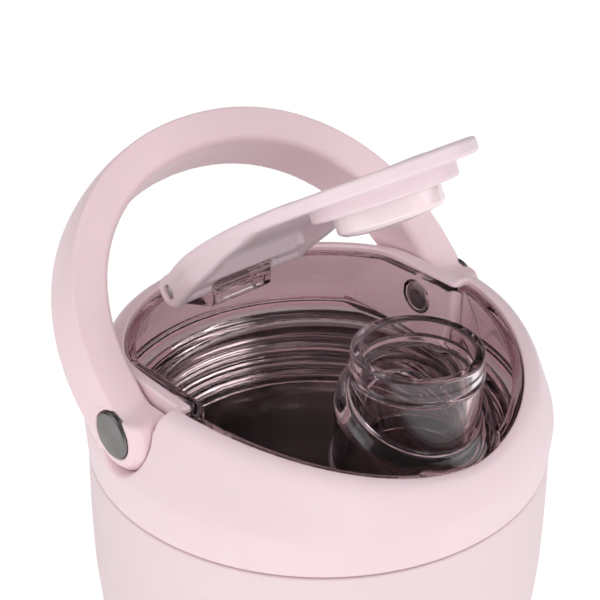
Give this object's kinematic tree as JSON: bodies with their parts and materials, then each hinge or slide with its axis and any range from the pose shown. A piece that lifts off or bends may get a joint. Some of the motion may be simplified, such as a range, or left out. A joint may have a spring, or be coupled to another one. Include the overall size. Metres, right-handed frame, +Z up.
{
  "type": "protein shaker bottle",
  "caption": "Insulated steel shaker cup with a screw-on carry lid, swinging bail handle, clear drinking spout and a hinged flip cap with a soft plug.",
  "frame": {"origin": "centre of the base pad's flat resting face", "axes": "+Z up along the cup's axis; -Y to the spout side; +Y to the cap hinge side; +X to the right-hand handle pivot, along the pivot and hinge axes"},
  "size_m": [0.097, 0.098, 0.2389],
  "materials": {
    "cup_powder_coat": "pale pink satin powder coat with a very fine grain",
    "polished_steel": "electropolished stainless steel with drawn ring marks",
    "brushed_steel": "brushed stainless steel",
    "base_silicone": "matt pink silicone",
    "seal_silicone": "translucent white silicone",
    "lid_plastic": "pale pink satin moulded plastic",
    "handle_plastic": "pale pink satin moulded plastic",
    "clear_plastic": "clear gloss copolyester",
    "plug_silicone": "glossy pale pink silicone"
  },
  "bodies": {
    "cup": {"cup_outer_shell": "cup_powder_coat", "cup_inner_liner": "polished_steel", "cup_base_plate": "brushed_steel", "vacuum_getter": "brushed_steel", "base_pad": "base_silicone"},
    "lid_seal": {"lid_gasket": "seal_silicone"},
    "lid": {"lid_collar": "lid_plastic", "lid_insert": "clear_plastic", "pivot_pin_left": "brushed_steel", "pivot_pin_right": "brushed_steel", "pivot_nut_left": "brushed_steel", "pivot_nut_right": "brushed_steel"},
    "handle": {"handle": "handle_plastic"},
    "cap": {"flip_cap": "lid_plastic", "hinge_pin": "brushed_steel"},
    "plug": {"spout_plug": "plug_silicone"},
    "agitator": {"whisk_ball": "brushed_steel"}
  },
  "joints": [
    {"name": "lid_rise", "type": "slide", "parent": "cup", "child": "lid_seal", "axis": [0, 0, 1], "range_m": [0, 0.0101]},
    {"name": "lid_turn", "type": "hinge", "parent": "lid_seal", "child": "lid", "pos_m": [0, 0, 0.165], "axis": [0, 0, 1], "range_deg": [0, 900]},
    {"name": "handle_swing", "type": "hinge", "parent": "lid", "child": "handle", "pos_m": [0, 0.0055, 0.1822], "axis": [-1, 0, 0], "range_deg": [-50, 0]},
    {"name": "cap_flip", "type": "hinge", "parent": "lid", "child": "cap", "pos_m": [0, 0.0274, 0.1927], "axis": [-1, 0, 0], "range_deg": [-30, 50]},
    {"name": "plug_pull", "type": "slide", "parent": "cap", "child": "plug", "axis": [0, -0.5, -0.866], "range_m": [0, 0.006]},
    {"name": "whisk_rattle", "type": "slide", "parent": "cup", "child": "agitator", "axis": [0, 0, 1], "range_m": [0, 0.11]}
  ],
  "couplings": [
    {"joint": "lid_rise", "follows": "lid_turn", "m_per_rad": 0.00063662}
  ]
}
